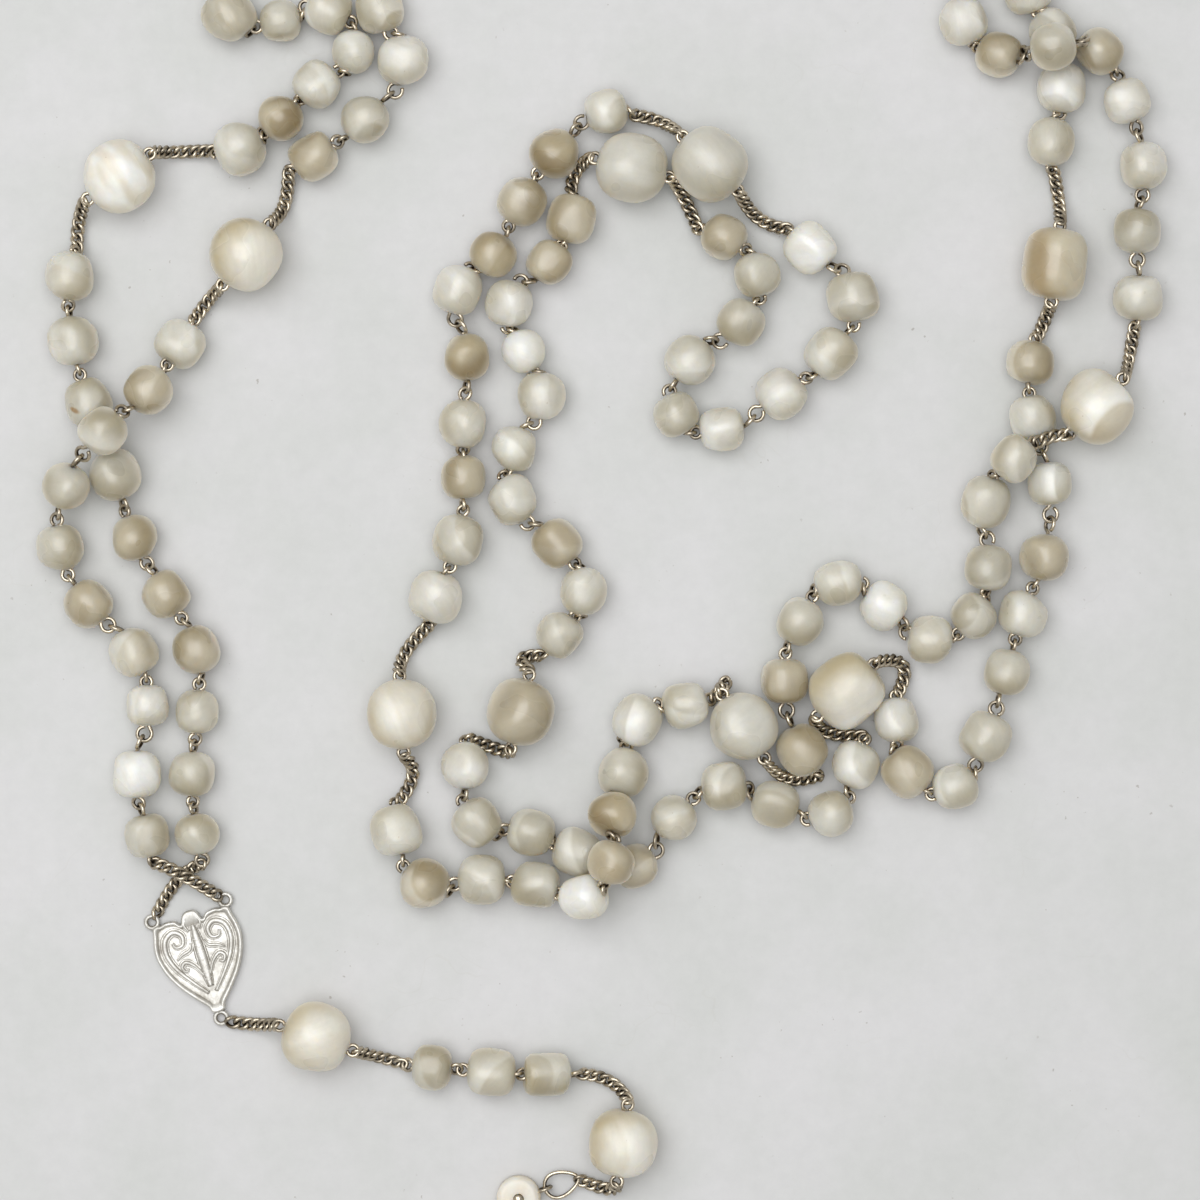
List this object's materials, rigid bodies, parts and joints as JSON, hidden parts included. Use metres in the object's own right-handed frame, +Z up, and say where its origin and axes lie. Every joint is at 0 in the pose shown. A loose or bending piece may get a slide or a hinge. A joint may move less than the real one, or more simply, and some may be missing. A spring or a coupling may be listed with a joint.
{
  "type": "rosary",
  "caption": "Rosary of mother-of-pearl beads on silver wire eyes, with short curb chains, a silver centre medal, a pendant run and a cross, laid out folded double.",
  "frame": {"origin": "centre of the back face of the centre medal, on the table", "axes": "+Z up from the table; +Y from the medal towards the far end of the fold; +X to the right of that, seen from above"},
  "size_m": [0.1875, 0.347, 0.0154],
  "materials": {
    "mother_of_pearl": "tumbled and softly polished, cream to white with warmer rims",
    "silver": "worn silver, bright on the high spots and darkened in the recesses"
  },
  "bodies": {
    "laid_strands": {"upper_link_1": "silver", "upper_link_4": "silver", "upper_link_6": "silver", "lower_link_1": "silver", "lower_link_2": "silver", "lower_link_3": "silver", "lower_link_4": "silver", "lower_link_5": "silver", "lower_link_6": "silver", "lower_decade_1": "mother_of_pearl", "lower_decade_4": "mother_of_pearl", "lower_decade_5": "mother_of_pearl", "lower_decade_6": "mother_of_pearl", "medal_chain_upper": "silver", "medal_chain_lower": "silver"},
    "medal": {"centre_medal": "silver"},
    "pendant_chain_1": {"pendant_chain_1": "silver"},
    "pendant_pin_1": {"pendant_pin_1": "silver"},
    "pendant_chain_2": {"pendant_chain_2": "silver"},
    "pendant_small_1": {"pendant_small_1": "mother_of_pearl"},
    "pendant_small_2": {"pendant_small_2": "mother_of_pearl"},
    "pendant_small_3": {"pendant_small_3": "mother_of_pearl"},
    "pendant_chain_3": {"pendant_chain_3": "silver"},
    "pendant_pin_2": {"pendant_pin_2": "silver"},
    "pendant_chain_4": {"pendant_chain_4": "silver"},
    "bail": {"bail": "silver"},
    "cross": {"cross": "mother_of_pearl"},
    "upper_decade_1": {"upper_decade_1": "mother_of_pearl"},
    "upper_arch": {"upper_link_2": "silver", "upper_link_3": "silver"},
    "upper_decade_2": {"upper_decade_2": "mother_of_pearl"},
    "upper_decade_3": {"upper_decade_3": "mother_of_pearl"},
    "upper_decade_4": {"upper_decade_4": "mother_of_pearl"},
    "lower_decade_2": {"lower_decade_2": "mother_of_pearl"},
    "lower_decade_3": {"lower_decade_3": "mother_of_pearl"},
    "upper_run": {"upper_link_5": "silver", "upper_decade_5": "mother_of_pearl"},
    "upper_decade_6": {"upper_decade_6": "mother_of_pearl"},
    "far_fold": {"upper_link_7": "silver", "lower_link_7": "silver", "lower_decade_7": "mother_of_pearl"},
    "upper_decade_7": {"upper_decade_7": "mother_of_pearl"},
    "end_decade": {"end_decade": "mother_of_pearl"},
    "upper_large_bead_1": {"upper_large_bead_1": "mother_of_pearl"},
    "upper_large_bead_2": {"upper_large_bead_2": "mother_of_pearl"},
    "upper_large_bead_3": {"upper_large_bead_3": "mother_of_pearl"},
    "upper_large_bead_4": {"upper_large_bead_4": "mother_of_pearl"},
    "upper_large_bead_5": {"upper_large_bead_5": "mother_of_pearl"},
    "upper_large_bead_6": {"upper_large_bead_6": "mother_of_pearl"},
    "upper_large_bead_7": {"upper_large_bead_7": "mother_of_pearl"},
    "lower_large_bead_1": {"lower_large_bead_1": "mother_of_pearl"},
    "lower_large_bead_2": {"lower_large_bead_2": "mother_of_pearl"},
    "lower_large_bead_3": {"lower_large_bead_3": "mother_of_pearl"},
    "lower_large_bead_4": {"lower_large_bead_4": "mother_of_pearl"},
    "lower_large_bead_5": {"lower_large_bead_5": "mother_of_pearl"},
    "lower_large_bead_6": {"lower_large_bead_6": "mother_of_pearl"},
    "lower_large_bead_7": {"lower_large_bead_7": "mother_of_pearl"},
    "pendant_bead_1": {"pendant_bead_1": "mother_of_pearl"},
    "pendant_bead_2": {"pendant_bead_2": "mother_of_pearl"}
  },
  "joints": [
    {"name": "medal_lift", "type": "hinge", "parent": "laid_strands", "child": "medal", "pos_m": [-0.0019, 0.00622, 0.00085], "axis": [-0.9563, -0.2924, 0], "range_deg": [0, 60]},
    {"name": "pendant_lift", "type": "hinge", "parent": "medal", "child": "pendant_chain_1", "pos_m": [0.00463, -0.01213, 0.0012], "axis": [-0.0499, -0.9988, 0], "range_deg": [0, 40]},
    {"name": "cross_lift", "type": "hinge", "parent": "bail", "child": "cross", "pos_m": [0.0577, -0.0402, 0.0017], "axis": [-0.33, 0.944, 0], "range_deg": [0, 75]},
    {"name": "upper_decade_1_lift", "type": "hinge", "parent": "laid_strands", "child": "upper_decade_1", "pos_m": [-0.00435, 0.0596, 0.003], "axis": [0.0741, 0.9973, 0], "range_deg": [0, 35]},
    {"name": "upper_arch_lift", "type": "hinge", "parent": "laid_strands", "child": "upper_arch", "pos_m": [0.08565, 0.1172, 0.003], "axis": [0.9835, -0.181, 0], "range_deg": [0, 60]},
    {"name": "upper_run_lift", "type": "hinge", "parent": "laid_strands", "child": "upper_run", "pos_m": [0.0863, 0.0544, 0.00475], "axis": [-0.8706, -0.4911, -0.0287], "range_deg": [0, 60]},
    {"name": "upper_decade_6_lift", "type": "hinge", "parent": "upper_run", "child": "upper_decade_6", "pos_m": [0.05955, 0.0331, 0.003], "axis": [-0.9503, -0.3113, 0], "range_deg": [0, 60]},
    {"name": "far_fold_lift", "type": "hinge", "parent": "laid_strands", "child": "far_fold", "pos_m": [0.0481, 0.05165, 0.003], "axis": [0.9625, -0.2713, 0], "range_deg": [0, 60]},
    {"name": "end_decade_lift", "type": "hinge", "parent": "far_fold", "child": "end_decade", "pos_m": [0.0911, 0.12, 0.003], "axis": [-0.9997, -0.0263, 0], "range_deg": [0, 60]},
    {"name": "upper_decade_7_lift", "type": "hinge", "parent": "far_fold", "child": "upper_decade_7", "pos_m": [0.0556, 0.0968, 0.003], "axis": [0.3695, 0.9292, 0], "range_deg": [0, 35]},
    {"name": "upper_decade_3_lift", "type": "hinge", "parent": "upper_arch", "child": "upper_decade_3", "pos_m": [0.08811, 0.21707, 0.003], "axis": [0.9051, -0.4252, 0], "range_deg": [0, 60]},
    {"name": "lower_decade_2_lift", "type": "hinge", "parent": "laid_strands", "child": "lower_decade_2", "pos_m": [0.00586, 0.16291, 0.003], "axis": [-0.096, -0.9954, 0], "range_deg": [0, 60]},
    {"name": "lower_decade_3_lift", "type": "hinge", "parent": "laid_strands", "child": "lower_decade_3", "pos_m": [0.0622, 0.23563, 0.003], "axis": [0.9457, 0.3251, 0], "range_deg": [0, 60]},
    {"name": "upper_decade_2_lift", "type": "hinge", "parent": "upper_arch", "child": "upper_decade_2", "pos_m": [0.02841, 0.17269, 0.003], "axis": [-0.301, -0.9536, 0], "range_deg": [0, 20]},
    {"name": "upper_decade_4_lift", "type": "hinge", "parent": "upper_arch", "child": "upper_decade_4", "pos_m": [0.14151, 0.14122, 0.003], "axis": [0.3709, -0.9287, 0], "range_deg": [0, 10]},
    {"name": "pendant_pin_1_swing", "type": "hinge", "parent": "pendant_chain_1", "child": "pendant_pin_1", "pos_m": [0.01355, -0.01238, 0.00585], "axis": [0, 0, 1], "range_deg": [-25, 25]},
    {"name": "pendant_chain_2_swing", "type": "hinge", "parent": "pendant_pin_1", "child": "pendant_chain_2", "pos_m": [0.02605, -0.01662, 0.00585], "axis": [0, 0, -1], "range_deg": [-25, 25]},
    {"name": "pendant_small_1_swing", "type": "hinge", "parent": "pendant_chain_2", "child": "pendant_small_1", "pos_m": [0.03422, -0.01918, 0.0033], "axis": [0, 0, 1], "range_deg": [-20, 20]},
    {"name": "pendant_small_2_swing", "type": "hinge", "parent": "pendant_small_1", "child": "pendant_small_2", "pos_m": [0.04395, -0.01995, 0.004], "axis": [0, 0, -1], "range_deg": [-20, 20]},
    {"name": "pendant_small_3_swing", "type": "hinge", "parent": "pendant_small_2", "child": "pendant_small_3", "pos_m": [0.05355, -0.0206, 0.004], "axis": [0, 0, 1], "range_deg": [-20, 20]},
    {"name": "pendant_chain_3_swing", "type": "hinge", "parent": "pendant_small_3", "child": "pendant_chain_3", "pos_m": [0.06313, -0.0209, 0.0033], "axis": [0, 0, -1], "range_deg": [-20, 20]},
    {"name": "pendant_pin_2_swing", "type": "hinge", "parent": "pendant_chain_3", "child": "pendant_pin_2", "pos_m": [0.07162, -0.02547, 0.00585], "axis": [0, 0, 1], "range_deg": [-25, 25]},
    {"name": "pendant_chain_4_swing", "type": "hinge", "parent": "pendant_pin_2", "child": "pendant_chain_4", "pos_m": [0.06978, -0.03853, 0.00585], "axis": [0, 0, -1], "range_deg": [-25, 25]},
    {"name": "bail_swing", "type": "hinge", "parent": "pendant_chain_4", "child": "bail", "pos_m": [0.06381, -0.03818, 0.0017], "axis": [0, 0, 1], "range_deg": [-20, 20]},
    {"name": "pendant_bead_1_spin", "type": "hinge", "parent": "pendant_pin_1", "child": "pendant_bead_1", "pos_m": [0.0198, -0.0145, 0.00585], "axis": [0.9471, -0.321, 0], "continuous": true},
    {"name": "upper_large_bead_1_spin", "type": "hinge", "parent": "laid_strands", "child": "upper_large_bead_1", "pos_m": [0.0082, 0.1157, 0.00585], "axis": [0.6153, 0.7883, 0], "continuous": true},
    {"name": "upper_large_bead_2_spin", "type": "hinge", "parent": "upper_arch", "child": "upper_large_bead_2", "pos_m": [0.04648, 0.22779, 0.00585], "axis": [0.756, 0.6546, 0], "continuous": true},
    {"name": "upper_large_bead_3_spin", "type": "hinge", "parent": "upper_arch", "child": "upper_large_bead_3", "pos_m": [0.12123, 0.19081, 0.00585], "axis": [0.3962, -0.9182, 0], "continuous": true},
    {"name": "upper_large_bead_4_spin", "type": "hinge", "parent": "laid_strands", "child": "upper_large_bead_4", "pos_m": [0.1495, 0.0905, 0.00585], "axis": [-0.6935, -0.7204, 0], "continuous": true},
    {"name": "upper_large_bead_5_spin", "type": "hinge", "parent": "upper_run", "child": "upper_large_bead_5", "pos_m": [0.0908, 0.0373, 0.00585], "axis": [-0.5511, 0.8344, 0], "continuous": true},
    {"name": "upper_large_bead_6_spin", "type": "hinge", "parent": "laid_strands", "child": "upper_large_bead_6", "pos_m": [0.034, 0.0393, 0.00585], "axis": [-0.0531, 0.9986, 0], "continuous": true},
    {"name": "upper_large_bead_7_spin", "type": "hinge", "parent": "far_fold", "child": "upper_large_bead_7", "pos_m": [0.0853, 0.1308, 0.00585], "axis": [0.7136, -0.7006, 0], "continuous": true},
    {"name": "lower_large_bead_1_spin", "type": "hinge", "parent": "laid_strands", "child": "lower_large_bead_1", "pos_m": [-0.013, 0.1287, 0.00585], "axis": [0.8075, 0.5899, 0], "continuous": true},
    {"name": "lower_large_bead_2_spin", "type": "hinge", "parent": "laid_strands", "child": "lower_large_bead_2", "pos_m": [0.01345, 0.20732, 0.00585], "axis": [0.3766, 0.9264, 0], "continuous": true},
    {"name": "lower_large_bead_3_spin", "type": "hinge", "parent": "laid_strands", "child": "lower_large_bead_3", "pos_m": [0.11565, 0.23976, 0.00585], "axis": [0.6417, -0.7669, 0], "continuous": true},
    {"name": "lower_large_bead_4_spin", "type": "hinge", "parent": "laid_strands", "child": "lower_large_bead_4", "pos_m": [0.1428, 0.1142, 0.00585], "axis": [-0.1115, -0.9938, 0], "continuous": true},
    {"name": "lower_large_bead_5_spin", "type": "hinge", "parent": "laid_strands", "child": "lower_large_bead_5", "pos_m": [0.1078, 0.0433, 0.00585], "axis": [-0.7364, -0.6765, 0], "continuous": true},
    {"name": "lower_large_bead_6_spin", "type": "hinge", "parent": "laid_strands", "child": "lower_large_bead_6", "pos_m": [0.0537, 0.0397, 0.00585], "axis": [0.2425, 0.9701, 0], "continuous": true},
    {"name": "lower_large_bead_7_spin", "type": "hinge", "parent": "far_fold", "child": "lower_large_bead_7", "pos_m": [0.0723, 0.1302, 0.00585], "axis": [0.9695, -0.245, 0], "continuous": true},
    {"name": "pendant_bead_2_spin", "type": "hinge", "parent": "pendant_pin_2", "child": "pendant_bead_2", "pos_m": [0.0707, -0.032, 0.00585], "axis": [-0.14, -0.9901, 0], "continuous": true}
  ]
}
